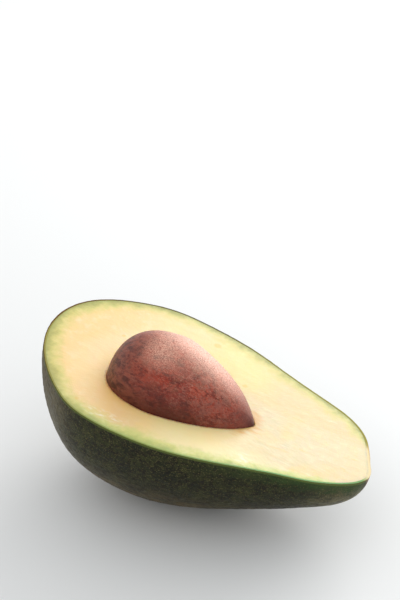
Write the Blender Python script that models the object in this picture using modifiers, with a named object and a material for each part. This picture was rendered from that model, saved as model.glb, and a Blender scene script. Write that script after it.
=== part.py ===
"""Half of a ripe avocado with its seed, cut lengthways and lying on its skin.

Metres, +Z up. The half is modelled along its own axis, with the stem end at +X and the cut face
on the plane Z = 0, and is then leaned into the pose that it rests in. The origin is the centre of
the small flat spot that it rests on.
"""
import math

import bmesh
import bpy
import numpy as np
from mathutils import Euler, Matrix, Vector

MM = 0.001

# Outline of the cut face, from the blossom end (-X) past the belly and the neck to the stem end
LENGTH = 112 * MM
BLOSSOM_OFFSET = 7.4 * MM
BLOSSOM_FULLNESS = 20.5 * MM
BELLY_AT = -14.2 * MM
BELLY_RADIUS = 34.9 * MM
BELLY_TO_BLOSSOM = 22.5 * MM
BELLY_TO_NECK = 18.5 * MM
NECK_AT = 39.8 * MM
NECK_RADIUS = 19.6 * MM
NECK_TAPER = math.radians(21.3)
NECK_TO_BELLY = 24.8 * MM
NECK_TO_STEM = 14.4 * MM
STEM_OFFSET = -0.4 * MM
STEM_SLANT = math.radians(29.4)
STEM_FULLNESS = 9.1 * MM
DEPTH_RATIO = 1.11

# Seed: a turned teardrop, blunt towards the blossom end and pointed towards the stem end
SEED_LENGTH = 49.2 * MM
SEED_RADIUS = 16.1 * MM
SEED_WIDEST_AT = -5.9 * MM
SEED_BLUNT_FULLNESS = 11.5 * MM
SEED_WIDEST_TO_BLUNT = 9.1 * MM
SEED_WIDEST_TO_TIP = 4.1 * MM
SEED_TIP_FULLNESS = 14.6 * MM
SEED_TIP_ANGLE = math.radians(48.7)
SEED_CENTRE = Vector((-5.2, -4.4, -0.4)) * MM

# Thicknesses, and the clearance between touching pieces
SKIN_THICKNESS = 1.0 * MM
CLEARANCE = 0.3 * MM

# Resting pose: the stem end and the far side hang a little lower than the rest of the cut face
STEM_END_DROP = math.radians(11.15)
FAR_SIDE_DROP = math.radians(2.5)
FLAT_SPOT_DEPTH = 0.35 * MM

# Fineness of the meshes
STATIONS_BY_STRETCH = (14, 15, 13)
FRUIT_SIDES = 40
FIRST_STATION = 0.3
SEED_PROFILE_STEPS = 14
SEED_SIDES = 36
FINE_STEPS = 300
SHARP_ANGLE = math.radians(40)
CUTTER_SIZE = 0.3


def bezier(start, handle_out, handle_in, end, shares):
    """Points of one cubic curve at the given shares of its parameter."""
    s = np.asarray(shares)[:, None]
    corners = [np.asarray(point, float) for point in (start, handle_out, handle_in, end)]
    weights = ((1 - s) ** 3, 3 * s * (1 - s) ** 2, 3 * s ** 2 * (1 - s), s ** 3)
    return sum(weight * corner for weight, corner in zip(weights, corners))


def side_outline(side, stretch_shares):
    """One long side of the cut face (+1 far, -1 near), as three stretches of curve."""
    blossom = np.array([-LENGTH / 2, BLOSSOM_OFFSET])
    belly = np.array([BELLY_AT, side * BELLY_RADIUS])
    neck = np.array([NECK_AT, side * NECK_RADIUS])
    stem = np.array([LENGTH / 2, STEM_OFFSET])
    along = np.array([1.0, 0.0])
    outward = np.array([0.0, side])
    taper = np.array([math.cos(NECK_TAPER), -side * math.sin(NECK_TAPER)])
    slant = side * np.array([-math.sin(STEM_SLANT), math.cos(STEM_SLANT)])
    stretches = (
        (blossom, blossom + BLOSSOM_FULLNESS * outward, belly - BELLY_TO_BLOSSOM * along, belly),
        (belly, belly + BELLY_TO_NECK * along, neck - NECK_TO_BELLY * taper, neck),
        (neck, neck + NECK_TO_STEM * taper, stem + STEM_FULLNESS * slant, stem),
    )
    parts = [bezier(*points, shares) for points, shares in zip(stretches, stretch_shares)]
    return np.concatenate(parts)


def station_shares():
    """Where the rings lie on each stretch: a short step in from both ends, even between."""
    blossom_steps, middle_steps, stem_steps = STATIONS_BY_STRETCH
    return (
        (np.arange(blossom_steps) + FIRST_STATION) / (blossom_steps - 1 + FIRST_STATION),
        np.arange(1, middle_steps + 1) / middle_steps,
        np.arange(1, stem_steps + 1) / (stem_steps + FIRST_STATION),
    )


def fruit_rings(shares, angles, swell=1.0):
    """Points of the whole fruit: an elliptic ring across it at each station of the outline."""
    far = side_outline(1, shares)
    near = side_outline(-1, shares)
    middle = (far + near) / 2
    half_width = (far - near) / 2
    depth = DEPTH_RATIO * np.linalg.norm(half_width, axis=1)
    rings = np.empty((len(far), len(angles), 3))
    across = swell * np.cos(angles)[None, :, None]
    rings[..., :2] = middle[:, None] + half_width[:, None] * across
    rings[..., 2] = -swell * depth[:, None] * np.sin(angles)[None]
    return rings


def lowest_point(lean):
    """The lowest point of the leaned fruit, read from a fine grid on its curves."""
    fine = np.linspace(0.0, 1.0, FINE_STEPS)
    angles = np.linspace(0.0, math.pi, FINE_STEPS)
    points = fruit_rings((fine, fine, fine), angles).reshape(-1, 3)
    heights = points @ np.array(lean.to_matrix())[2]
    return Vector(points[int(np.argmin(heights))])


def new_object(name, mesh, collection):
    """Link a new object for a mesh to a collection."""
    thing = bpy.data.objects.new(name, mesh)
    collection.objects.link(thing)
    return thing


def fruit_object(name, collection):
    """The whole fruit as a closed loft, with the cut plane halfway between two rows of points."""
    half_step = math.pi / FRUIT_SIDES
    angles = half_step + np.arange(FRUIT_SIDES) * 2 * half_step
    rings = fruit_rings(station_shares(), angles, swell=1 / math.cos(half_step))
    mesh = bpy.data.meshes.new(name)
    shape = bmesh.new()
    loops = [[shape.verts.new(point) for point in ring] for ring in rings]
    for first, second in zip(loops, loops[1:]):
        for step in range(FRUIT_SIDES):
            after = (step + 1) % FRUIT_SIDES
            shape.faces.new((first[step], first[after], second[after], second[step]))
    shape.faces.new(loops[0])
    shape.faces.new(loops[-1])
    bmesh.ops.recalc_face_normals(shape, faces=shape.faces)
    shape.to_mesh(mesh)
    shape.free()
    return new_object(name, mesh, collection)


def seed_object(name, collection):
    """The seed: its half profile turned round its long axis, with the pointed tip at +X."""
    half = SEED_LENGTH / 2
    blunt = np.array([0.0, -half])
    widest = np.array([SEED_RADIUS, SEED_WIDEST_AT])
    tip = np.array([0.0, half])
    up = np.array([0.0, 1.0])
    outward = np.array([1.0, 0.0])
    tip_side = np.array([math.sin(SEED_TIP_ANGLE), -math.cos(SEED_TIP_ANGLE)])
    shares = np.linspace(0.0, 1.0, SEED_PROFILE_STEPS + 1)
    upper = bezier(tip, tip + SEED_TIP_FULLNESS * tip_side,
                   widest + SEED_WIDEST_TO_TIP * up, widest, shares)
    lower = bezier(widest, widest - SEED_WIDEST_TO_BLUNT * up,
                   blunt + SEED_BLUNT_FULLNESS * outward, blunt, shares[1:])
    profile = [(radius, 0.0, height) for radius, height in np.concatenate((upper, lower))]
    mesh = bpy.data.meshes.new(name)
    mesh.from_pydata(profile, [(i, i + 1) for i in range(len(profile) - 1)], [])
    seed = new_object(name, mesh, collection)
    turn = seed.modifiers.new("turned", "SCREW")
    turn.axis = "Z"
    turn.steps = SEED_SIDES
    turn.render_steps = SEED_SIDES
    turn.use_merge_vertices = True
    turn.merge_threshold = 0.00001
    seed.location = SEED_CENTRE
    seed.rotation_euler = (0.0, math.radians(90), 0.0)
    return seed


def box_cutter(name, centre, collection):
    """A large box that takes away everything inside it."""
    mesh = bpy.data.meshes.new(name)
    shape = bmesh.new()
    bmesh.ops.create_cube(shape, size=CUTTER_SIZE)
    shape.to_mesh(mesh)
    shape.free()
    cutter = new_object(name, mesh, collection)
    cutter.location = centre
    return cutter


def hide_cutter(cutter):
    """Show a cutter as wires only."""
    cutter.hide_render = True
    cutter.display_type = "WIRE"


def grow(thing, distance):
    """Move a surface outwards along its normals, or inwards where the distance is negative."""
    offset = thing.modifiers.new("offset", "DISPLACE")
    offset.direction = "NORMAL"
    offset.mid_level = 0.0
    offset.strength = distance


def cut(thing, cutter):
    """Take a cutter away from a piece."""
    boolean = thing.modifiers.new(cutter.name, "BOOLEAN")
    boolean.operation = "DIFFERENCE"
    boolean.solver = "EXACT"
    boolean.object = cutter


def apply_shape(thing):
    """Apply a piece's modifiers, and shade it smooth up to its cut edges."""
    depsgraph = bpy.context.evaluated_depsgraph_get()
    mesh = bpy.data.meshes.new_from_object(thing.evaluated_get(depsgraph))
    mesh.name = thing.name
    thing.modifiers.clear()
    thing.data = mesh
    mesh.shade_smooth()
    mesh.set_sharp_from_angle(angle=SHARP_ANGLE)


def paint(thing, colour, roughness):
    """Give a piece its own Principled material."""
    material = bpy.data.materials.new(thing.name)
    material.use_nodes = True
    shader = material.node_tree.nodes["Principled BSDF"]
    shader.inputs["Base Color"].default_value = (*colour, 1.0)
    shader.inputs["Roughness"].default_value = roughness
    shader.inputs["Metallic"].default_value = 0.0
    thing.data.materials.clear()
    thing.data.materials.append(material)


def resting_frame(collection):
    """The empty that leans the half and sets its flat spot on the origin."""
    lean = Euler((-FAR_SIDE_DROP, STEM_END_DROP, 0.0))
    foot = lean.to_matrix() @ lowest_point(lean) + Vector((0.0, 0.0, FLAT_SPOT_DEPTH))
    frame = new_object("resting_frame", None, collection)
    frame.rotation_euler = lean
    frame.location = -foot
    return frame


def build_skin(collection, knife, floor):
    """The skin: a thin shell, cut open at the face and flat where it rests."""
    skin = fruit_object("skin", collection)
    shell = skin.modifiers.new("thickness", "SOLIDIFY")
    shell.thickness = SKIN_THICKNESS
    shell.offset = -1.0
    cut(skin, knife)
    cut(skin, floor)
    return skin


def build_flesh(collection, knife, hollow):
    """The flesh: fills the skin, with the hollow that the seed sits in."""
    flesh = fruit_object("flesh", collection)
    grow(flesh, -(SKIN_THICKNESS + CLEARANCE))
    cut(flesh, knife)
    cut(flesh, hollow)
    return flesh


def main():
    for thing in list(bpy.data.objects):
        bpy.data.objects.remove(thing, do_unlink=True)

    parts = bpy.data.collections.new("avocado_half")
    cutters = bpy.data.collections.new("cutters")
    bpy.context.scene.collection.children.link(parts)
    bpy.context.scene.collection.children.link(cutters)

    frame = resting_frame(parts)
    knife = box_cutter("knife", (0.0, 0.0, CUTTER_SIZE / 2), cutters)
    floor = box_cutter("floor", (0.0, 0.0, -CUTTER_SIZE / 2), cutters)
    hollow = seed_object("seed_hollow", cutters)
    grow(hollow, CLEARANCE)

    skin = build_skin(parts, knife, floor)
    flesh = build_flesh(parts, knife, hollow)
    seed = seed_object("seed", parts)
    for thing in (skin, flesh, seed, knife, hollow):
        thing.parent = frame
    for cutter in (knife, floor, hollow):
        hide_cutter(cutter)
    for thing in (skin, flesh, seed):
        apply_shape(thing)

    paint(skin, (0.022, 0.034, 0.014), 0.42)
    paint(flesh, (0.86, 0.74, 0.36), 0.38)
    paint(seed, (0.22, 0.070, 0.042), 0.40)


main()
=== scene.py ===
"""The looks of the avocado half: fine skin, cut flesh and seed, on a pale floor in soft light.

The shapes follow the part's own curves, more finely, with the relief that its solids leave out.
They are worked out in millimetres along the fruit's own axes (+X to the stem end, +Y to the far
side, the cut face on Z = 0), and are then leaned into the part's resting pose in metres.
"""
import math

import bmesh
import bpy
import numpy as np
from mathutils import Euler, Matrix, Vector, kdtree, noise


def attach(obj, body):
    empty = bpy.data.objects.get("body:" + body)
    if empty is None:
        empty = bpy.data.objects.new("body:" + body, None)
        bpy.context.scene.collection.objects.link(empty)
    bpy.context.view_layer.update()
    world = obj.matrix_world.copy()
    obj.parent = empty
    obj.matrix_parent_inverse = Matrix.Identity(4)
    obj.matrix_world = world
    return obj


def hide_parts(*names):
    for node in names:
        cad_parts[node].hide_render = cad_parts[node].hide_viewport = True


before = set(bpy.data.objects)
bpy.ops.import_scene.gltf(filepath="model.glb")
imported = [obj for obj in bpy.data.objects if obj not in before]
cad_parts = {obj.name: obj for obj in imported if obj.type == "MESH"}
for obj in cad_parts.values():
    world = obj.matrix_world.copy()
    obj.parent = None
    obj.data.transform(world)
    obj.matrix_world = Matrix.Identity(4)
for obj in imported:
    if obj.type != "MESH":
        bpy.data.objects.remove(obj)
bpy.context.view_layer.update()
MM = 0.001

# Outline of the cut face, from the blossom end past the belly and the neck to the stem end
LENGTH = 112.0
BLOSSOM_OFFSET = 7.4
BLOSSOM_FULLNESS = 20.5
BELLY_AT = -14.2
BELLY_RADIUS = 34.9
BELLY_TO_BLOSSOM = 22.5
BELLY_TO_NECK = 18.5
NECK_AT = 39.8
NECK_RADIUS = 19.6
NECK_TAPER = math.radians(21.3)
NECK_TO_BELLY = 24.8
NECK_TO_STEM = 14.4
STEM_OFFSET = -0.4
STEM_SLANT = math.radians(29.4)
STEM_FULLNESS = 9.1
DEPTH_RATIO = 1.11
SKIN_THICKNESS = 1.0
# Where each side is fuller or leaner than its curve: place along the fruit, reach, amount
FAR_SWELLS = ((-27.0, 15.0, 1.8), (15.0, 9.0, -0.4), (39.0, 10.0, 1.1))
NEAR_SWELLS = ((-31.0, 10.0, 1.3), (2.0, 26.0, 1.1), (43.0, 8.0, 0.6))
# These swells fade out over this length before either end
SWELLS_FADE = 5.0
# The stem end reaches further at this place across it, with this reach, by this amount
STEM_SWELL = (2.5, 7.0, 0.65)
# That swell sets in between these places along the fruit
STEM_SWELL_RANGE = (46.0, 54.0)
# The underside is shallower than its curve there: place along the fruit, reach, share of the depth
STEM_SHALLOW = (45.0, 7.0, 0.07)

# Seed: a turned teardrop, pointed towards the stem end
SEED_LENGTH = 49.2
SEED_RADIUS = 16.1
SEED_WIDEST_AT = -5.9
SEED_BLUNT_FULLNESS = 12.4
SEED_WIDEST_TO_BLUNT = 9.1
SEED_WIDEST_TO_TIP = 4.1
SEED_TIP_FULLNESS = 13.4
SEED_TIP_ANGLE = math.radians(60.0)
SEED_CENTRE = np.array((-4.9, -4.4, 0.1))
SEED_LEAN = math.radians(2.2)
SEED_CLEARANCE = 0.03

# Resting pose
STEM_END_DROP = math.radians(11.15)
FAR_SIDE_DROP = math.radians(2.5)
FLAT_SPOT_DEPTH = 0.35

# Fineness of the meshes
SKIN_STRETCH_STEPS = 110
SKIN_SIDE_STEPS = 250
FLESH_STRETCH_STEPS = 95
FLESH_FACE_STEPS = 95
HIDDEN_STEPS = 16
BURIED_TIP_STEPS = 6
SEED_STRETCH_STEPS = 100
SEED_SIDE_STEPS = 340
MOUTH_SAMPLES_PER_STEP = 20
JOIN_DISTANCE = 0.003
# Shares of the way across a strip. The last two lie close together and keep its corner crisp
SKIN_EDGE_SHARES = np.append(np.linspace(0.0, 0.97, 6), 1.0)
FLESH_FACE_SHARES = np.append(np.linspace(0.0, 0.998, FLESH_FACE_STEPS + 1), 1.0)

# Camera, aimed at a point on the floor behind the half
CAMERA_AIM = Vector((-0.0439, 0.1072, 0.0))
CAMERA_DISTANCE = 0.6332
CAMERA_TURN = math.radians(25.43)
CAMERA_ELEVATION = math.radians(30.25)
CAMERA_LENS = 100.0
CAMERA_SENSOR = 36.0
CAMERA_NEAREST = 0.01

# Light: a soft window behind the half on the right, and an even fill
WINDOW_TURN = math.radians(14)
WINDOW_ELEVATION = math.radians(24)
WINDOW_DISTANCE = 0.62
WINDOW_WIDTH = 0.56
WINDOW_HEIGHT = 0.36
WINDOW_AIM = Vector((0.08, 0.08, 0.0))
WINDOW_POWER = 2.5
WINDOW_COLOUR = (1.0, 0.99, 0.975)
FILL_STRENGTH = 0.95
FILL_COLOUR = (0.985, 0.99, 0.99)
FLOOR_REACH = 4.0


def srgb(red, green, blue):
    """A colour as seen, 0 to 255, turned into the linear values that a shader takes."""
    shares = (value / 255 for value in (red, green, blue))
    return tuple(s / 12.92 if s <= 0.04045 else ((s + 0.055) / 1.055) ** 2.4 for s in shares)


def ramp(values, start, end):
    """0 up to start, 1 from end on, straight between. The end may be the lower of the two."""
    return np.clip((values - start) / (end - start), 0.0, 1.0)


def bell(values, place, reach):
    """A smooth hump: 1 at its place, and nearly 0 beyond twice its reach."""
    return np.exp(-((values - place) / reach) ** 2)


def bezier(start, handle_out, handle_in, end, shares):
    """Points of one cubic curve at the given shares of its parameter."""
    s = np.asarray(shares)[:, None]
    corners = [np.asarray(point, float) for point in (start, handle_out, handle_in, end)]
    weights = ((1 - s) ** 3, 3 * s * (1 - s) ** 2, 3 * s ** 2 * (1 - s), s ** 3)
    return sum(weight * corner for weight, corner in zip(weights, corners))


def side_outline(side, steps):
    """One long side of the part's cut face (+1 far, -1 near), from the blossom to the stem end."""
    blossom = np.array([-LENGTH / 2, BLOSSOM_OFFSET])
    belly = np.array([BELLY_AT, side * BELLY_RADIUS])
    neck = np.array([NECK_AT, side * NECK_RADIUS])
    stem = np.array([LENGTH / 2, STEM_OFFSET])
    along = np.array([1.0, 0.0])
    outward = np.array([0.0, side])
    taper = np.array([math.cos(NECK_TAPER), -side * math.sin(NECK_TAPER)])
    slant = side * np.array([-math.sin(STEM_SLANT), math.cos(STEM_SLANT)])
    stretches = (
        (blossom, blossom + BLOSSOM_FULLNESS * outward, belly - BELLY_TO_BLOSSOM * along, belly),
        (belly, belly + BELLY_TO_NECK * along, neck - NECK_TO_BELLY * taper, neck),
        (neck, neck + NECK_TO_STEM * taper, stem + STEM_FULLNESS * slant, stem),
    )
    shares = np.arange(steps) / steps
    parts = [bezier(*points, shares) for points in stretches]
    return np.concatenate(parts + [stem[None]])


def swollen(line, side):
    """The same side where it is fuller or leaner. Its blossom end stays."""
    calm = ramp(np.abs(line[:, 0]), LENGTH / 2, LENGTH / 2 - SWELLS_FADE)
    line = line.copy()
    for place, reach, amount in FAR_SWELLS if side > 0 else NEAR_SWELLS:
        line[:, 1] += calm * side * amount * bell(line[:, 0], place, reach)
    place, reach, amount = STEM_SWELL
    at_stem = ramp(line[:, 0], *STEM_SWELL_RANGE)
    line[:, 0] += at_stem * amount * bell(line[:, 1], place, reach)
    return line


def half_rings(far, near, angles, swell=True):
    """The underside between two sides of an outline: half an elliptic ring at each station.

    Without swell they are the rings of the part's own solids.
    """
    depth = DEPTH_RATIO * np.linalg.norm(far - near, axis=1) / 2
    if swell:
        far = swollen(far, 1)
        near = swollen(near, -1)
        place, reach, share = STEM_SHALLOW
        depth = depth * (1 - share * bell(far[:, 0], place, reach))
    middle = (far + near) / 2
    half_width = (far - near) / 2
    rings = np.empty((len(far), len(angles), 3))
    rings[..., :2] = middle[:, None] + half_width[:, None] * np.cos(angles)[None, :, None]
    rings[..., 2] = -depth[:, None] * np.sin(angles)[None]
    return rings


def outward_normals(rings):
    """Unit normals of a grid of half rings. The outline sets those of its two end points."""
    along = np.gradient(rings, axis=0)
    around = np.gradient(rings, axis=1)
    normals = np.cross(along, around)
    normals[:, (0, -1), 2] = 0.0
    normals[0] = (-1.0, 0.0, 0.0)
    normals[-1] = (math.cos(STEM_SLANT), math.sin(STEM_SLANT), 0.0)
    return normals / np.linalg.norm(normals, axis=-1, keepdims=True)


def skin_inner_side(far, near):
    """The inner side of the skin, where it lies against the flesh."""
    rings = half_rings(far, near, np.linspace(0.0, math.pi, HIDDEN_STEPS + 1))
    return rings - outward_normals(rings) * SKIN_THICKNESS


def resting_lean():
    """The matrix from the fruit's millimetres to the part's metres, resting on its flat spot."""
    lean = Euler((-FAR_SIDE_DROP, STEM_END_DROP, 0.0)).to_matrix()
    steps = FLESH_STRETCH_STEPS
    angles = np.linspace(0.0, math.pi, SKIN_SIDE_STEPS)
    rings = half_rings(side_outline(1, steps), side_outline(-1, steps), angles, swell=False)
    points = rings.reshape(-1, 3)
    lowest = Vector(points[int(np.argmin(points @ np.array(lean)[2]))])
    foot = lean @ lowest + Vector((0.0, 0.0, FLAT_SPOT_DEPTH))
    return Matrix.Translation(-foot * MM) @ lean.to_4x4() @ Matrix.Scale(MM, 4)


LEAN = resting_lean()


def leaned(points):
    """Points of the fruit, in millimetres, placed in the part's frame, in metres."""
    matrix = np.array(LEAN)
    return points @ matrix[:3, :3].T + matrix[:3, 3]


def above_floor(points):
    """The same points, in millimetres, with those below the floor lifted on to it."""
    lift = np.maximum(0.0, -leaned(points)[..., 2]) / MM
    up = np.array(LEAN.to_3x3().inverted() @ Vector((0, 0, 1)))
    return points + lift[..., None] * up / np.linalg.norm(up)


def sample(points, scale, field):
    """A field of Blender's noise at each point, for cells of about 1 / scale millimetres."""
    return np.array([field(Vector(point)) for point in points * scale])


def waves(points, scale):
    """Smooth noise from -1 to 1."""
    return sample(points, scale, noise.noise)


def hills(points, scale):
    """Smooth noise from 0 to 1."""
    return 0.5 + 0.5 * waves(points, scale)


def new_object(name, data):
    """An object of a mesh, lamp or camera, linked to the scene."""
    thing = bpy.data.objects.new(name, data)
    bpy.context.scene.collection.objects.link(thing)
    return thing


class Grid:
    """A closed surface gathered from patches of points, with values kept at each point."""

    def __init__(self):
        self.points = []
        self.values = {}
        self.faces = []

    def patch(self, rows, wrap=False, **values):
        """Add a grid of points as a patch of quads. wrap joins each row's end to its start."""
        count, width = rows.shape[:2]
        first = sum(len(block) for block in self.points)
        self.points.append(rows.reshape(-1, 3))
        for name, value in values.items():
            full = np.broadcast_to(value, (count, width)).reshape(-1)
            self.values.setdefault(name, []).append((first, full))
        index = first + np.arange(count * width).reshape(count, width)
        if wrap:
            index = np.concatenate((index, index[:, :1]), axis=1)
        corners = (index[:-1, :-1], index[:-1, 1:], index[1:, 1:], index[1:, :-1])
        self.faces.append(np.stack(corners, axis=-1).reshape(-1, 4))

    def build(self, name):
        """The piece, with points that lie on each other joined and its place in its mesh."""
        points = np.concatenate(self.points)
        mesh = bpy.data.meshes.new(name)
        mesh.from_pydata(leaned(points), [], np.concatenate(self.faces))
        for title, parts in self.values.items():
            full = np.zeros(len(points), np.float32)
            for first, part in parts:
                full[first:first + len(part)] = part
            layer = mesh.attributes.new(title, "FLOAT", "POINT")
            layer.data.foreach_set("value", full)
        place = mesh.attributes.new("fruit_mm", "FLOAT_VECTOR", "POINT")
        place.data.foreach_set("vector", points.astype(np.float32).reshape(-1))
        shape = bmesh.new()
        shape.from_mesh(mesh)
        bmesh.ops.remove_doubles(shape, verts=shape.verts, dist=JOIN_DISTANCE * MM)
        bmesh.ops.recalc_face_normals(shape, faces=shape.faces)
        shape.to_mesh(mesh)
        shape.free()
        mesh.shade_smooth()
        return new_object(name, mesh)


class Look:
    """A material as it is wired: each call adds a node and gives its output socket."""

    def __init__(self, name):
        self.material = bpy.data.materials.new(name)
        self.material.use_nodes = True
        self.nodes = self.material.node_tree.nodes
        self.links = self.material.node_tree.links
        self.shader = self.nodes["Principled BSDF"]

    def put(self, socket, value):
        """Link an output to a socket, or set the socket's own value."""
        if isinstance(value, bpy.types.NodeSocket):
            self.links.new(value, socket)
        elif socket.type == "RGBA":
            socket.default_value = (*value[:3], 1.0)
        else:
            socket.default_value = value

    def set(self, **values):
        """Set the shader's sockets, named with underscores for spaces."""
        for name, value in values.items():
            self.put(self.shader.inputs[name.replace("_", " ")], value)

    def add(self, kind, inputs, output=0, **settings):
        """Add a node of one kind with its inputs and settings."""
        node = self.nodes.new(kind)
        for name, value in settings.items():
            setattr(node, name, value)
        for name, value in inputs.items():
            self.put(node.inputs[name], value)
        return node.outputs[output]

    def value(self, name):
        """A value kept at the mesh's points."""
        return self.add("ShaderNodeAttribute", {}, "Fac", attribute_name=name)

    def place(self, stretch=(1.0, 1.0, 1.0)):
        """Where a point lies on the fruit, in millimetres, stretched for streaks."""
        spot = self.add("ShaderNodeAttribute", {}, "Vector", attribute_name="fruit_mm")
        return self.add("ShaderNodeVectorMath", {0: spot, 1: stretch}, operation="MULTIPLY")

    def axis(self, where, name):
        """One coordinate of a place: X along the fruit, Y across it."""
        return self.add("ShaderNodeSeparateXYZ", {"Vector": where}, name)

    def noise(self, where, scale, detail=3.0, roughness=0.5, distortion=0.0):
        return self.add("ShaderNodeTexNoise", {
            "Vector": where, "Scale": scale, "Detail": detail, "Roughness": roughness,
            "Distortion": distortion})

    def cells(self, where, scale, output="Distance"):
        return self.add("ShaderNodeTexVoronoi", {"Vector": where, "Scale": scale}, output)

    def math(self, operation, first, second=0.0):
        return self.add("ShaderNodeMath", {0: first, 1: second}, operation=operation)

    def times(self, first, *others):
        """The product of two or more values."""
        for other in others:
            first = self.math("MULTIPLY", first, other)
        return first

    def plus(self, first, second, share=1.0):
        """first + share * second"""
        return self.add("ShaderNodeMath", {0: second, 1: share, 2: first},
                        operation="MULTIPLY_ADD")

    def centred(self, value):
        """A noise moved down so that it runs about 0."""
        return self.math("SUBTRACT", value, 0.5)

    def veins(self, where, scale, width):
        """1 along thin wandering lines, 0 between them."""
        away = self.math("ABSOLUTE", self.centred(self.noise(where, scale, 3.0, 0.55, 0.5)))
        return self.ease(away, 0.0, width, 1.0, 0.0)

    def ease(self, value, low, high, start=0.0, end=1.0):
        """start at low, end at high, with a smooth step between. low may be the higher one."""
        return self.add("ShaderNodeMapRange", {
            "Value": value, "From Min": low, "From Max": high, "To Min": start, "To Max": end,
        }, interpolation_type="SMOOTHSTEP")

    def mix(self, share, first, second):
        """The first colour, turned into the second by a share."""
        node = self.nodes.new("ShaderNodeMix")
        node.data_type = "RGBA"
        self.put(node.inputs["Factor"], share)
        self.put(node.inputs[6], first)
        self.put(node.inputs[7], second)
        return node.outputs[2]

    def bump(self, height, distance_mm, strength=1.0):
        return self.add("ShaderNodeBump", {
            "Height": height, "Distance": distance_mm * MM, "Strength": strength})


def fresh_side(look, along, across):
    """The near side without its blossom end, where the green of the cut is fresher."""
    return look.times(look.ease(along, -42.0, -14.0), look.ease(across, 6.0, -6.0))


# Skin

SKIN_INSET = 0.05
PEBBLE_SCALE = 0.42
PEBBLE_HEIGHT = 0.12
PEBBLE_STEEPNESS = 1.6
PEBBLE_GRAIN_SCALE = PEBBLE_SCALE * 2.3
SWELL_SCALE = 0.09
SWELL_HEIGHT = 0.18
# The relief fades out over this length before the stem end
RELIEF_FADE = 15.0
RIM_ROUNDING = 0.07
# Dry scar at the stem end: its radius, and the radius within which it has its full depth
STEM_SCAR_RADIUS = 6.0
STEM_SCAR_FLOOR_RADIUS = 3.0
STEM_SCAR_DEPTH = 0.1
# What the hidden inner side keeps as its distance below the rim
HIDDEN_BELOW_RIM = 9.0


def pebbles(points, scale):
    """Rounded cells: 0 on the borders between them, rising towards 1 inside each."""
    def height(point):
        distances, _ = noise.voronoi(point)
        return min(1.0, (distances[1] - distances[0]) * PEBBLE_STEEPNESS)
    return sample(points, scale, height)


def skin_relief(points):
    """How far the outer surface lies inside its curves: pebbles and slow swells."""
    grooves = (1 - pebbles(points, PEBBLE_SCALE)) * (0.4 + 0.6 * hills(points, PEBBLE_GRAIN_SCALE))
    calm = ramp(points[:, 0], LENGTH / 2, LENGTH / 2 - RELIEF_FADE)
    bumps = PEBBLE_HEIGHT * grooves + SWELL_HEIGHT * hills(points, SWELL_SCALE)
    return SKIN_INSET + calm * bumps


def skin_ground(look, place, blotch, fine):
    """Deep green with dark blotches, brown flecks and pale dots, and where the dots are."""
    mottle = look.noise(place, 0.14, 4.0, 0.6)
    colour = look.mix(look.ease(mottle, 0.34, 0.68), srgb(18, 23, 7), srgb(45, 48, 18))
    colour = look.mix(look.ease(blotch, 0.46, 0.6, 0.0, 0.85), colour, srgb(20, 15, 9))
    colour = look.mix(look.ease(fine, 0.5, 0.68, 0.0, 0.6), colour, srgb(72, 68, 34))
    size = look.plus(look.cells(place, 1.9, "Color"), mottle, 0.8)
    size = look.ease(size, 0.4, 1.2, 0.0, 0.42)
    dots = look.ease(look.math("SUBTRACT", size, look.cells(place, 1.9)), -0.04, 0.16)
    return look.mix(look.times(dots, 0.55), colour, srgb(98, 90, 50)), dots


def skin_cut(look, layer, along, across, blotch, blossom, cut_stem):
    """The cut edge round the face: dark skin outside, green within, and pale at the stem end."""
    far_side = look.ease(across, -4.0, 8.0)
    far_neck = look.times(look.ease(along, -15.0, 25.0), far_side)
    dark = look.mix(far_neck, srgb(76, 70, 24), srgb(146, 140, 52))
    dark = look.mix(blossom, dark, srgb(112, 72, 36))
    dark = look.mix(cut_stem, dark, srgb(214, 178, 122))
    minty = look.times(look.ease(along, -10.0, 40.0), look.ease(across, 0.0, -10.0))
    green = look.mix(fresh_side(look, along, across), srgb(152, 146, 78), srgb(140, 156, 84))
    green = look.mix(minty, green, srgb(116, 166, 104))
    green = look.mix(cut_stem, green, srgb(234, 216, 170))
    inward = look.plus(layer, look.centred(blotch), 0.35)
    inward = look.plus(inward, far_side, -0.38)
    inward = look.plus(inward, cut_stem, 0.4)
    return look.mix(look.ease(inward, 0.16, 0.6), dark, green)


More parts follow.
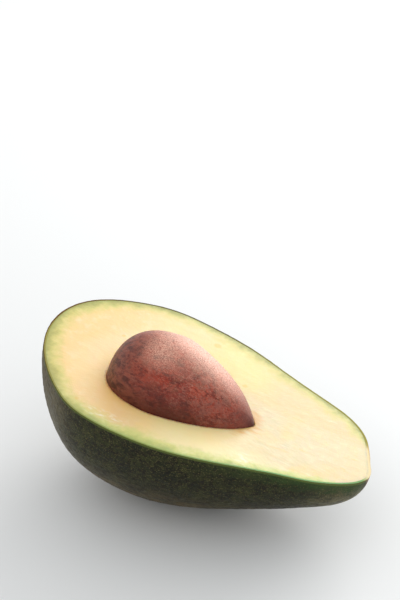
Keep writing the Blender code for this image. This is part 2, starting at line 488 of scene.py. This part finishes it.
def skin_material():
    look = Look("skin")
    place = look.place()
    layer = look.value("layer")
    below_rim = look.value("below_rim_mm")
    stem = look.value("stem_mm")
    along = look.axis(place, "X")
    across = look.axis(place, "Y")
    blotch = look.noise(place, 0.7, 3.0, 0.6)
    fine = look.noise(place, 2.2, 2.0, 0.6)
    streaks = look.noise(look.place((0.25, 1.0, 1.0)), 0.5, 4.0, 0.6, 0.4)
    speckle = look.plus(streaks, look.centred(fine), 0.8)
    speckled = look.ease(speckle, 0.3, 0.7)
    colour, dots = skin_ground(look, place, blotch, fine)

    # Scuffed and browner towards both ends, dusty at the near belly, brown underneath: these
    # lighter browns are partly the skin's own and partly a painted sheen of the floor's reflection
    # at the skin's edges
    near_stem = look.times(look.ease(stem, 6.0, 26.0, 0.8, 0.0),
                           look.ease(below_rim, 1.0, 9.0, 0.3, 1.0))
    scuffed_and_sheen = look.mix(speckled, srgb(58, 54, 30), srgb(134, 126, 86))
    colour = look.mix(near_stem, colour, scuffed_and_sheen)
    blossom = look.ease(along, -58.0, -34.0, 0.66, 0.0)
    browned_and_sheen = look.mix(speckled, srgb(80, 70, 38), srgb(122, 100, 60))
    colour = look.mix(blossom, colour, browned_and_sheen)
    dusty_and_sheen = look.times(look.ease(along, -24.0, -38.0), look.ease(across, -10.0, -22.0),
                       look.ease(speckle, 0.3, 0.66, 0.25, 0.7))
    colour = look.mix(dusty_and_sheen, colour, srgb(92, 80, 46))
    under_brown_and_sheen = look.times(look.ease(below_rim, 15.0, 31.0), look.ease(streaks, 0.36, 0.66), 0.75)
    colour = look.mix(under_brown_and_sheen, colour, srgb(110, 90, 56))

    # Greener under the rim of the neck, and a painted glow of light through the thin skin along the
    # rim itself
    ragged = look.plus(below_rim, speckle, 9.0)
    neck_green = look.times(look.ease(along, 4.0, 46.0), look.ease(ragged, 4.0, 11.0, 0.6, 0.0))
    colour = look.mix(neck_green, colour, srgb(50, 78, 32))
    colour = look.mix(look.ease(below_rim, 0.1, 0.8, 0.75, 0.0), colour, srgb(94, 110, 50))

    # Corky scar at the stem end, with a dark ring round it
    from_scar = look.plus(stem, blotch, 2.0)
    cork = look.mix(speckled, srgb(172, 136, 92), srgb(112, 82, 50))
    colour = look.mix(look.ease(from_scar, 7.0, 9.0, 0.7, 0.0), colour, srgb(52, 40, 24))
    colour = look.mix(look.ease(from_scar, 5.4, 7.4, 1.0, 0.0), colour, cork)

    cut_stem = look.times(look.ease(from_scar, 9.0, 14.0, 1.0, 0.0),
                          look.ease(across, -8.0, -4.0))
    cut = skin_cut(look, layer, along, across, blotch, blossom, cut_stem)
    is_cut = look.ease(layer, 0.02, 0.06)
    look.set(Base_Color=look.mix(is_cut, colour, cut))
    roughness = look.plus(look.ease(blotch, 0.3, 0.7, 0.38, 0.52), blossom, 0.35)
    look.set(Roughness=look.plus(roughness, is_cut, 0.2), Specular_IOR_Level=0.17)
    height = look.plus(look.plus(blotch, fine, 0.6), dots, 0.5)
    look.set(Normal=look.bump(height, 0.10, 0.9))
    return look.material


def make_skin():
    """The skin: pebbled outside, cut edge round the face, and its inner side against the flesh."""
    far = side_outline(1, SKIN_STRETCH_STEPS)
    near = side_outline(-1, SKIN_STRETCH_STEPS)
    rings = half_rings(far, near, np.linspace(0.0, math.pi, SKIN_SIDE_STEPS + 1))
    normals = outward_normals(rings)
    stem_end = np.array((LENGTH / 2, STEM_OFFSET, 0.0))
    from_stem = np.linalg.norm(rings - stem_end, axis=-1)
    relief = skin_relief(rings.reshape(-1, 3)).reshape(rings.shape[:2])
    relief[0] = relief[0, 0]
    relief[-1] = relief[-1, 0]
    scar = ramp(from_stem, STEM_SCAR_RADIUS, STEM_SCAR_FLOOR_RADIUS)
    relief = relief + STEM_SCAR_DEPTH * scar * scar * (3 - 2 * scar)
    outer = rings - normals * relief[..., None]
    outer[..., 2] = np.minimum(outer[..., 2], -RIM_ROUNDING)
    outer = above_floor(outer)
    inner = skin_inner_side(far, near)
    inner_from_stem = np.linalg.norm(inner - stem_end, axis=-1)

    grid = Grid()
    grid.patch(outer, layer=0.0, below_rim_mm=-rings[..., 2], stem_mm=from_stem)
    grid.patch(inner[:, ::-1], layer=1.0, below_rim_mm=HIDDEN_BELOW_RIM,
               stem_mm=inner_from_stem[:, ::-1])
    shares = SKIN_EDGE_SHARES[None, :, None]
    layer = np.concatenate(([0.0], 0.1 + 0.9 * SKIN_EDGE_SHARES))[None]
    for row, turn in ((0, -1), (-1, 1)):
        top = outer[:, row].copy()
        top[:, 2] = 0.0
        top -= normals[:, row] * RIM_ROUNDING
        across = top[:, None] * (1 - shares) + inner[:, row][:, None] * shares
        strip = np.concatenate((outer[:, row][:, None], across), axis=1)
        grid.patch(strip[:, ::turn], layer=layer[:, ::turn], below_rim_mm=0.0,
                   stem_mm=from_stem[:, row][:, None])
    skin = grid.build("avocado_skin")
    skin.data.materials.append(skin_material())
    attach(skin, "root")
    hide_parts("skin")


# Seed

SEED_LUMP_SCALE = 0.11
SEED_LUMP_HEIGHT = 0.3
SEED_WRINKLE_SCALE = 0.75
SEED_WRINKLE_HEIGHT = 0.07
# Wrinkles run longer along the seed than round it
SEED_WRINKLE_STRETCH = (0.6, 1.2, 1.2)
# The relief is lowest where the seed meets the cut face, and is full from this far above or below
SEED_RELIEF_FULL_AT = 3.0
SEED_RELIEF_LEAST = 0.1
# Directions of the coat's pale dust and painted highlight: towards the window, over its crown, and
# the side facing away from the camera, where both fade
SEED_HIGHLIGHT_SIDE = np.array((0.2, 0.64, 0.74))
SEED_CROWN_HIGHLIGHT_SIDE = np.array((-0.03, -0.17, 0.98))
SEED_AWAY_FROM_CAMERA = np.array((-0.37, 0.78, -0.5))


def seed_profile(steps, grow=0.0):
    """Half profile of the seed, blunt end to tip: places along it with radii, and its normals."""
    half = SEED_LENGTH / 2
    blunt = np.array([-half, 0.0])
    widest = np.array([SEED_WIDEST_AT, SEED_RADIUS])
    tip = np.array([half, 0.0])
    along = np.array([1.0, 0.0])
    outward = np.array([0.0, 1.0])
    tip_side = np.array([-math.cos(SEED_TIP_ANGLE), math.sin(SEED_TIP_ANGLE)])
    shares = np.arange(steps) / steps
    lower = bezier(blunt, blunt + SEED_BLUNT_FULLNESS * outward,
                   widest - SEED_WIDEST_TO_BLUNT * along, widest, shares)
    upper = bezier(widest, widest + SEED_WIDEST_TO_TIP * along,
                   tip + SEED_TIP_FULLNESS * tip_side, tip, shares)
    profile = np.concatenate((lower, upper, tip[None]))
    tangents = np.gradient(profile, axis=0)
    normals = np.stack((-tangents[:, 1], tangents[:, 0]), axis=1)
    normals[0] = (-1.0, 0.0)
    normals[-1] = (1.0, 0.0)
    normals /= np.linalg.norm(normals, axis=1, keepdims=True)
    return profile + grow * normals, normals


def seed_coat(look, place, fibres, patches, grain, specks, dust):
    """The red-brown coat: paler and darker patches, olive stains, fibres, veins and specks."""
    broad = look.noise(place, 0.10, 3.0, 0.6, 0.4)
    colour = look.mix(look.ease(broad, 0.36, 0.62), srgb(136, 40, 24), srgb(174, 60, 32))
    colour = look.mix(look.ease(patches, 0.5, 0.68, 0.0, 0.75), colour, srgb(168, 82, 64))
    colour = look.mix(look.ease(patches, 0.54, 0.32, 0.0, 0.85), colour, srgb(84, 26, 22))
    olive = look.ease(look.noise(place, 0.3, 4.0, 0.62), 0.52, 0.66, 0.0, 0.6)
    colour = look.mix(olive, colour, srgb(112, 74, 52))
    colour = look.mix(look.ease(grain, 0.54, 0.7, 0.0, 0.7), colour, srgb(196, 132, 112))
    colour = look.mix(look.ease(grain, 0.5, 0.28, 0.0, 0.6), colour, srgb(80, 26, 24))
    veins = look.times(look.veins(fibres, 0.7, 0.045), 0.28)
    colour = look.mix(veins, colour, srgb(206, 152, 136))
    colour = look.mix(look.ease(dust, 0.56, 0.7, 0.0, 0.5), colour, srgb(206, 150, 128))
    return look.mix(look.ease(specks, 0.58, 0.74, 0.0, 0.45), colour, srgb(64, 26, 22))


def seed_material():
    look = Look("seed")
    place = look.place()
    fibres = look.place((0.55, 1.2, 1.2))
    along = look.value("along_mm")
    patches = look.noise(fibres, 0.32, 5.0, 0.68, 0.5)
    mottle = look.noise(fibres, 0.42, 5.0, 0.7, 0.6)
    grain = look.noise(fibres, 1.3, 4.0, 0.68)
    freckles = look.noise(place, 1.5, 3.0, 0.6)
    specks = look.noise(place, 2.4, 2.0, 0.6)
    dust = look.noise(look.place((0.9, 1.3, 1.3)), 3.0, 3.0, 0.7)
    colour = seed_coat(look, place, fibres, patches, grain, specks, dust)

    # Duller towards the tip, redder at the belly, darker in the mottle, and freckled
    dulled = look.times(look.ease(along, -4.0, 10.0), look.ease(mottle, 0.47, 0.6, 0.1, 0.62))
    colour = look.mix(dulled, colour, srgb(150, 92, 80))
    ember = look.times(look.ease(along, -20.0, -10.0), look.ease(along, 5.0, -5.0, 0.0, 0.4))
    colour = look.mix(ember, colour, srgb(150, 36, 16))
    deepened = look.times(look.ease(along, -24.0, -12.0), look.ease(mottle, 0.5, 0.36, 0.0, 0.7))
    colour = look.mix(deepened, colour, srgb(80, 24, 20))
    colour = look.mix(look.ease(freckles, 0.54, 0.66, 0.0, 0.5), colour, srgb(74, 24, 16))

    # Pale dust where the papery coat lies loose, and with it a painted highlight on the side
    # towards the window and over the crown
    bloom = look.times(look.value("bloom"), look.ease(dust, 0.4, 0.58, 0.34, 1.0))
    pale = look.mix(look.ease(along, -20.0, -9.0), srgb(222, 142, 118), srgb(255, 202, 177))
    pale = look.mix(look.ease(along, 4.0, 20.0), pale, srgb(232, 168, 144))
    colour = look.mix(bloom, colour, pale)

    # Darker above the cut face, partly the coat's own colour and partly painted shade where the
    # seed meets the flesh; dark too at the blunt end and at the tip
    low = look.times(look.ease(look.value("above_mm"), 0.2, 12.0, 0.88, 0.0),
                     look.ease(along, 4.0, 14.0, 1.0, 0.5))
    colour = look.mix(low, colour, srgb(60, 12, 8))
    blunt = look.times(look.ease(along, -24.0, 2.0, 0.85, 0.0),
                       look.ease(bloom, 0.1, 0.7, 1.0, 0.25))
    colour = look.mix(blunt, colour,
                      look.mix(look.ease(mottle, 0.38, 0.6), srgb(54, 16, 14), srgb(128, 70, 54)))
    tip = look.times(look.ease(along, 15.0, 24.0, 0.0, 0.65), look.ease(bloom, 0.1, 0.8, 1.0, 0.4))
    colour = look.mix(tip, colour, look.mix(patches, srgb(86, 34, 32), srgb(120, 64, 58)))
    tip_end = look.ease(look.plus(along, grain, 3.0), 23.0, 25.4, 0.0, 0.85)
    colour = look.mix(tip_end, colour, srgb(66, 16, 14))

    look.set(Base_Color=colour)
    look.set(Roughness=look.ease(grain, 0.3, 0.7, 0.36, 0.52))
    look.set(Specular_IOR_Level=0.45, Specular_Tint=srgb(255, 226, 216))
    height = look.plus(look.plus(grain, patches, 0.8), specks, 0.4)
    look.set(Normal=look.bump(height, 0.09, 0.9))
    return look.material


def on_seed(along, across, angles):
    """Points of the leaning seed: stations along its axis, radii there, and angles round it."""
    axis = np.array((math.cos(SEED_LEAN), 0.0, -math.sin(SEED_LEAN)))
    up = np.array((math.sin(SEED_LEAN), 0.0, math.cos(SEED_LEAN)))
    side = np.array((0.0, 1.0, 0.0))
    spokes = np.cos(angles)[..., None] * side + np.sin(angles)[..., None] * up
    return SEED_CENTRE + along[:, None, None] * axis + across[:, None, None] * spokes


def seed_bloom(outward, along):
    """How dusty the coat is, with its painted highlight: on the side towards the window and over
    the crown at the belly, less on the side facing away from the camera.
    """
    dusty_and_sheen = ramp(outward @ SEED_HIGHLIGHT_SIDE, 0.35, 0.95)
    crown_highlight = ramp(outward @ SEED_CROWN_HIGHLIGHT_SIDE, 0.78, 0.97) * (0.12 + 0.55 * bell(along, -9.0, 9.0))
    away_from_camera = ramp(outward @ SEED_AWAY_FROM_CAMERA, 0.1, 0.55)
    toward_tip = np.clip(1.4 - 0.035 * along, 0.7, 1.0)
    return np.maximum(dusty_and_sheen, crown_highlight) * (1 - 0.75 * away_from_camera) * toward_tip


def make_seed():
    """The seed, with slow lumps and the fine wrinkles of its coat."""
    profile, normals = seed_profile(SEED_STRETCH_STEPS)
    angles = np.arange(SEED_SIDE_STEPS) * 2 * math.pi / SEED_SIDE_STEPS
    angles = np.broadcast_to(angles, (len(profile), SEED_SIDE_STEPS))
    rows = on_seed(profile[:, 0], profile[:, 1], angles)
    outward = on_seed(normals[:, 0], normals[:, 1], angles) - SEED_CENTRE
    flat = rows.reshape(-1, 3)
    relief = SEED_LUMP_HEIGHT * hills(flat, SEED_LUMP_SCALE)
    relief += SEED_WRINKLE_HEIGHT * hills(flat * SEED_WRINKLE_STRETCH, SEED_WRINKLE_SCALE)
    relief *= np.clip(np.abs(flat[:, 2]) / SEED_RELIEF_FULL_AT, SEED_RELIEF_LEAST, 1.0)
    relief = relief.reshape(rows.shape[:2])
    relief[0] = relief[0, 0]
    relief[-1] = relief[-1, 0]
    rows = rows - outward * relief[..., None]
    along = profile[:, :1]
    grid = Grid()
    grid.patch(rows, wrap=True, along_mm=along, above_mm=rows[..., 2],
               bloom=seed_bloom(outward, along))
    seed = grid.build("avocado_seed")
    seed.data.materials.append(seed_material())
    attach(seed, "root")
    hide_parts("seed")


# Flesh

# Small ochre spots on the face: centre and radius
OCHRE_SPOTS = (
    ((-7.5, 26.5), 1.1),
    ((8.7, 12.3), 0.8),
    ((-33.8, 10.8), 0.6),
    ((-29.5, -28.0), 0.6),
)
# Places on the face with pale marks, partly painted wet glints and partly pale scratches: centre,
# and reach along and across
GLINT_AND_SCRATCH_PATCHES = (
    ((-19.0, -30.0), (6.0, 2.0)),
    ((23.0, -22.0), (2.6, 3.2)),
)
# How strong such marks are: what is left of this many reaches away from the centre, and the most
SPOT_STRENGTH = (1.3, 0.5)
GLINT_AND_SCRATCH_STRENGTH = (1.5, 1.0)
# The painted warm light, bounced from the seed into its shadow beside it, fades by this distance
# from it
SEED_BOUNCE_REACH = 6.0
# Unevenness of the cut face: slow swells, and fine waves that run along the fruit
FACE_SWELL_SCALE = 0.07
FACE_SWELL_HEIGHT = 0.10
FACE_WAVE_SCALE = 0.45
FACE_WAVE_HEIGHT = 0.018
FACE_WAVE_STRETCH = (0.35, 1.0, 1.0)
FACE_RELIEF_FADE = 1.5
# What the hidden patches keep as their distances, and as the reach of the green
FAR_AWAY = 99.0
HIDDEN_BAND = 0.7


def green_reach(x, y):
    """How far the green under the skin reaches into the flesh, as a share of its widest."""
    blossom = ramp(x, -30.0, -52.0)
    near = ramp(y, 15.0, -15.0)
    neck = ramp(x, 2.0, 40.0)
    stem = ramp(x, 45.0, 54.0)
    share = (0.80 + 0.08 * near + 0.2 * blossom) * (1 - neck) + (0.8 - 0.34 * near) * neck
    return share * (1 - stem) + 0.02 * stem


def mouth(count):
    """The hollow's edge on the cut face: stations along the seed, radii, and the edge's angles."""
    profile, _ = seed_profile(count, SEED_CLEARANCE)
    along = np.linspace(profile[0, 0], profile[-1, 0], MOUTH_SAMPLES_PER_STEP * count)
    across = np.maximum(np.interp(along, profile[:, 0], profile[:, 1]), 1e-6)
    rise = (along * math.sin(SEED_LEAN) - SEED_CENTRE[2]) / (across * math.cos(SEED_LEAN))
    cut = np.flatnonzero(np.abs(rise) < 1.0)
    along, across, rise = (part[cut] for part in (along, across, rise))
    rise[0] = -1.0
    rise[-1] = 1.0
    angles = np.arcsin(rise)
    far = on_seed(along, across, angles[:, None])[:, 0]
    steps = np.linalg.norm(np.diff(far, axis=0), axis=1)
    travelled = np.concatenate(([0.0], np.cumsum(steps)))
    wanted = np.linspace(0.0, travelled[-1], count)
    return tuple(np.interp(wanted, travelled, part) for part in (along, across, angles))


def distance_to(points, line):
    """Distance from each point of the cut face to the nearest point of a line."""
    tree = kdtree.KDTree(len(line))
    for number, (x, y) in enumerate(line):
        tree.insert((x, y, 0.0), number)
    tree.balance()
    return np.array([tree.find((x, y, 0.0))[2] for x, y in points])


def marks(points, places, strength):
    """How strongly each point of the cut face is marked by the places near it."""
    reaches, most = strength
    marked = np.zeros(len(points))
    for centre, reach in places:
        away = np.linalg.norm((points - centre) / reach, axis=1)
        marked = np.maximum(marked, np.clip(reaches - away, 0.0, most))
    return marked


def flesh_cream(look, along, across, drift, clouds, streaks):
    """The cream of the inner flesh: its paler, deeper and yellower places, its streaks, and a
    painted lift of the seed's shadow on the near side.
    """
    cream = look.mix(look.ease(along, -45.0, 25.0), srgb(243, 207, 145), srgb(222, 206, 165))
    cream = look.mix(look.ease(clouds, 0.46, 0.72, 0.0, 0.4), cream, srgb(238, 226, 188))
    cream = look.mix(look.ease(drift, 0.52, 0.34, 0.0, 0.5), cream, srgb(242, 208, 138))
    far_belly = look.times(look.ease(across, 8.0, 20.0), look.ease(along, -38.0, -20.0, 0.0, 0.7),
                           look.ease(along, 0.0, -14.0))
    cream = look.mix(far_belly, cream, srgb(238, 218, 160))
    far_neck = look.times(look.ease(across, 3.0, 11.0), look.ease(along, -2.0, 16.0, 0.0, 0.75))
    cream = look.mix(far_neck, cream, srgb(226, 200, 148))
    lemon = look.times(look.ease(across, 6.0, 14.0), look.ease(along, -14.0, -2.0),
                       look.ease(along, 22.0, 6.0, 0.0, 0.6))
    cream = look.mix(lemon, cream, srgb(240, 221, 142))
    # Paler on the near side: painted light that lifts the seed's shadow there
    near_side_lift = look.times(look.ease(across, -14.0, -24.0),
                            look.ease(along, -14.0, 4.0, 0.0, 0.6))
    cream = look.mix(near_side_lift, cream, srgb(252, 242, 190))
    at_stem = look.ease(along, 36.0, 54.0, 0.0, 0.45)
    cream = look.mix(at_stem, cream, srgb(228, 201, 152))
    by_seed = look.times(look.ease(look.value("seed_mm"), 15.0, 6.0, 0.0, 0.9),
                         look.ease(along, -12.0, -28.0), look.ease(across, -16.0, 4.0, 0.35, 1.0))
    cream = look.mix(by_seed, cream, srgb(244, 219, 172))
    toward_neck = look.ease(along, 5.0, 30.0, 0.25, 1.0)
    stroke = look.times(look.ease(streaks, 0.58, 0.74, 0.0, 0.62), toward_neck)
    cream = look.mix(stroke, cream, srgb(242, 196, 118))
    pale_stroke = look.times(look.ease(streaks, 0.4, 0.28, 0.0, 0.4), toward_neck)
    return look.mix(pale_stroke, cream, srgb(240, 232, 204))


def flesh_material():
    look = Look("flesh")
    place = look.place()
    along = look.axis(place, "X")
    across = look.axis(place, "Y")
    from_seed = look.value("seed_mm")
    drift = look.noise(place, 0.08, 3.0)
    clouds = look.noise(place, 0.28, 4.0, 0.62)
    fine = look.noise(place, 1.1, 3.0, 0.6)
    streaks = look.noise(look.place((0.11, 0.62, 0.4)), 1.0, 4.0, 0.6, 0.5)
    colour = flesh_cream(look, along, across, drift, clouds, streaks)

    # Green under the skin, with an uneven inner border
    wobble = look.plus(look.times(look.centred(clouds), 7.0), look.centred(fine), 0.8)
    wobble = look.plus(wobble, look.centred(drift), 6.0)
    inside = look.plus(look.math("DIVIDE", look.value("rim_mm"), look.value("band")), wobble)
    fresh = fresh_side(look, along, across)
    light_green = look.mix(fresh, srgb(208, 199, 117), srgb(204, 209, 128))
    colour = look.mix(look.ease(inside, 2.6, 8.5), light_green, colour)
    green = look.mix(fresh, srgb(166, 163, 82), srgb(158, 176, 94))
    colour = look.mix(look.ease(inside, 0.4, 4.4), green, colour)

    # Painted warm light bounced from the seed, lifting its shadow in front of it; a brown brim
    # round it, and a brown trace at its tip
    bounce_colour = look.mix(look.ease(along, -20.0, 0.0), srgb(250, 196, 120), srgb(255, 228, 162))
    bounce_colour = look.mix(look.ease(along, -24.0, -36.0), bounce_colour, srgb(250, 216, 160))
    colour = look.mix(look.value("painted_seed_bounce"), colour, bounce_colour)
    ragged = look.plus(from_seed, look.centred(fine), 1.4)
    colour = look.mix(look.ease(ragged, 0.0, 0.9, 0.7, 0.0), colour, srgb(206, 128, 76))
    frayed = look.plus(from_seed, look.centred(streaks), 8.0)
    trace = look.times(look.ease(frayed, 0.3, 4.0, 0.75, 0.0), look.ease(along, 13.0, 18.0))
    colour = look.mix(trace, colour, srgb(222, 164, 88))

    # Ochre spots, and pale places that are partly painted wet glints and partly pale scratches
    colour = look.mix(look.value("spots"), colour, srgb(226, 190, 92))
    scratches = look.noise(look.place((0.35, 0.9, 0.5)), 1.1, 3.0, 0.6)
    glints_and_scratches = look.times(look.value("pale"), look.ease(scratches, 0.46, 0.7), 0.6)
    colour = look.mix(glints_and_scratches, colour, srgb(252, 248, 232))

    look.set(Base_Color=colour)
    look.set(Roughness=look.ease(fine, 0.3, 0.7, 0.34, 0.5))
    look.set(Specular_IOR_Level=0.4, Coat_Weight=0.15, Coat_Roughness=0.22)
    look.set(Subsurface_Weight=0.5, Subsurface_Radius=(1.0, 0.55, 0.25), Subsurface_Scale=4 * MM)
    wet = look.plus(look.plus(clouds, streaks, 0.12), fine, 0.4)
    look.set(Normal=look.bump(wet, 0.10))
    return look.material


def cut_face(lip, edge, lip_line, outline):
    """One side of the cut face, from the hollow's lip to the skin, and the values kept on it."""
    shares = FLESH_FACE_SHARES[None, :, None]
    face = lip[:, None] * (1 - shares) + edge[:, None] * shares
    size = face.shape[:2]
    flat = face.reshape(-1, 2)
    x, y = flat.T
    from_rim = distance_to(flat, outline)
    from_seed = distance_to(flat, lip_line)
    values = {
        "rim_mm": from_rim,
        "seed_mm": from_seed,
        "spots": marks(flat, OCHRE_SPOTS, SPOT_STRENGTH),
        "pale": marks(flat, GLINT_AND_SCRATCH_PATCHES, GLINT_AND_SCRATCH_STRENGTH),
        # Painted warm light bounced from the seed on its shaded near side, fading away from it
        "painted_seed_bounce": ramp(y + 0.45 * x, 4.0, -12.0) * np.exp(-from_seed / SEED_BOUNCE_REACH),
        "band": green_reach(x, y),
    }
    points = np.column_stack((flat, np.zeros(len(flat))))
    relief = FACE_SWELL_HEIGHT * waves(points, FACE_SWELL_SCALE)
    relief += FACE_WAVE_HEIGHT * waves(points * FACE_WAVE_STRETCH, FACE_WAVE_SCALE)
    from_edges = np.minimum(from_rim - SKIN_THICKNESS, from_seed)
    points[:, 2] = relief * ramp(from_edges, 0.0, FACE_RELIEF_FADE)
    return points.reshape(*size, 3), {name: value.reshape(size) for name, value in values.items()}


def make_flesh():
    """The flesh: the cut face with its small unevenness, the hollow, and the hidden underside."""
    far = side_outline(1, FLESH_STRETCH_STEPS)
    near = side_outline(-1, FLESH_STRETCH_STEPS)
    count = len(far)
    bowl = skin_inner_side(far, near)
    along, across, rise = mouth(count)
    sweep = np.linspace(0.0, 1.0, HIDDEN_STEPS + 1)[None]
    arcs = rise[:, None] - sweep * (math.pi + 2 * rise[:, None])
    hollow = on_seed(along, across, arcs)
    hollow[:, (0, -1), 2] = 0.0
    mouth_far = hollow[:, 0, :2]
    mouth_near = hollow[:, -1, :2]
    lip_line = np.concatenate((mouth_far, mouth_near[::-1]))
    outline = np.concatenate((swollen(far, 1), swollen(near, -1)[::-1]))

    grid = Grid()
    plain = {"spots": 0.0, "painted_seed_bounce": 0.0, "pale": 0.0}
    grid.patch(bowl, rim_mm=SKIN_THICKNESS, seed_mm=FAR_AWAY,
               band=green_reach(bowl[..., 0], bowl[..., 1]), **plain)
    for edge, lip, turn in ((bowl[:, 0, :2], mouth_far, -1), (bowl[:, -1, :2], mouth_near, 1)):
        points, values = cut_face(lip, edge, lip_line, outline)
        values = {name: value[:, ::turn] for name, value in values.items()}
        grid.patch(points[:, ::turn], **values)
    plain = dict(plain, rim_mm=FAR_AWAY, seed_mm=0.0, band=HIDDEN_BAND)
    grid.patch(hollow[:, ::-1], **plain)
    profile, _ = seed_profile(count, SEED_CLEARANCE)
    buried = np.linspace(along[-1], profile[-1, 0], BURIED_TIP_STEPS)
    radii = np.interp(buried, profile[:, 0], profile[:, 1])
    full_turn = np.broadcast_to(arcs[-1], (BURIED_TIP_STEPS, HIDDEN_STEPS + 1))
    buried_tip = on_seed(buried, radii, full_turn)
    buried_tip[0] = hollow[-1]
    grid.patch(buried_tip[:, ::-1], **plain)
    flesh = grid.build("avocado_flesh")
    flesh.data.materials.append(flesh_material())
    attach(flesh, "root")
    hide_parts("flesh")


# Floor, light and camera

def make_floor():
    """A plain pale floor."""
    look = Look("floor")
    where = look.add("ShaderNodeTexCoord", {}, "Object")
    drift = look.noise(where, 3.0, 2.0)
    look.set(Base_Color=look.mix(drift, srgb(226, 228, 229), srgb(232, 233, 233)))
    look.set(Roughness=0.55)
    mesh = bpy.data.meshes.new("floor")
    signs = ((-1, -1), (1, -1), (1, 1), (-1, 1))
    corners = [(x * FLOOR_REACH, y * FLOOR_REACH, 0.0) for x, y in signs]
    mesh.from_pydata(corners, [], [(0, 1, 2, 3)])
    mesh.materials.append(look.material)
    floor = new_object("floor", mesh)


def aim(thing, target):
    """Point a light's or camera's own -Z at a target."""
    thing.rotation_euler = (target - thing.location).to_track_quat("-Z", "Y").to_euler()


def make_light():
    """One broad soft light, aimed at the floor behind the half on the right, and an even fill."""
    lamp = bpy.data.lights.new("window", "AREA")
    lamp.shape = "RECTANGLE"
    lamp.size = WINDOW_WIDTH
    lamp.size_y = WINDOW_HEIGHT
    lamp.energy = WINDOW_POWER
    lamp.color = WINDOW_COLOUR
    light = new_object("window", lamp)
    level = WINDOW_DISTANCE * math.cos(WINDOW_ELEVATION)
    light.location = Vector((level * math.sin(WINDOW_TURN), level * math.cos(WINDOW_TURN),
                             WINDOW_DISTANCE * math.sin(WINDOW_ELEVATION)))
    aim(light, WINDOW_AIM)
    scene = bpy.context.scene
    world = bpy.data.worlds.new("studio")
    world.use_nodes = True
    sky = world.node_tree.nodes["Background"]
    sky.inputs["Color"].default_value = (*FILL_COLOUR, 1.0)
    sky.inputs["Strength"].default_value = FILL_STRENGTH
    scene.world = world
    scene.view_settings.view_transform = "Standard"
    scene.view_settings.look = "None"


def make_camera():
    """The camera at the photograph's viewing angle."""
    lens = bpy.data.cameras.new("camera")
    lens.lens = CAMERA_LENS
    lens.sensor_width = CAMERA_SENSOR
    lens.sensor_fit = "AUTO"
    lens.clip_start = CAMERA_NEAREST
    camera = new_object("camera", lens)
    level = CAMERA_DISTANCE * math.cos(CAMERA_ELEVATION)
    back = Vector((level * math.sin(CAMERA_TURN), -level * math.cos(CAMERA_TURN),
                   CAMERA_DISTANCE * math.sin(CAMERA_ELEVATION)))
    camera.location = CAMERA_AIM + back
    aim(camera, CAMERA_AIM)
    bpy.context.scene.camera = camera


make_camera()
make_skin()
make_flesh()
make_seed()
make_floor()
make_light()
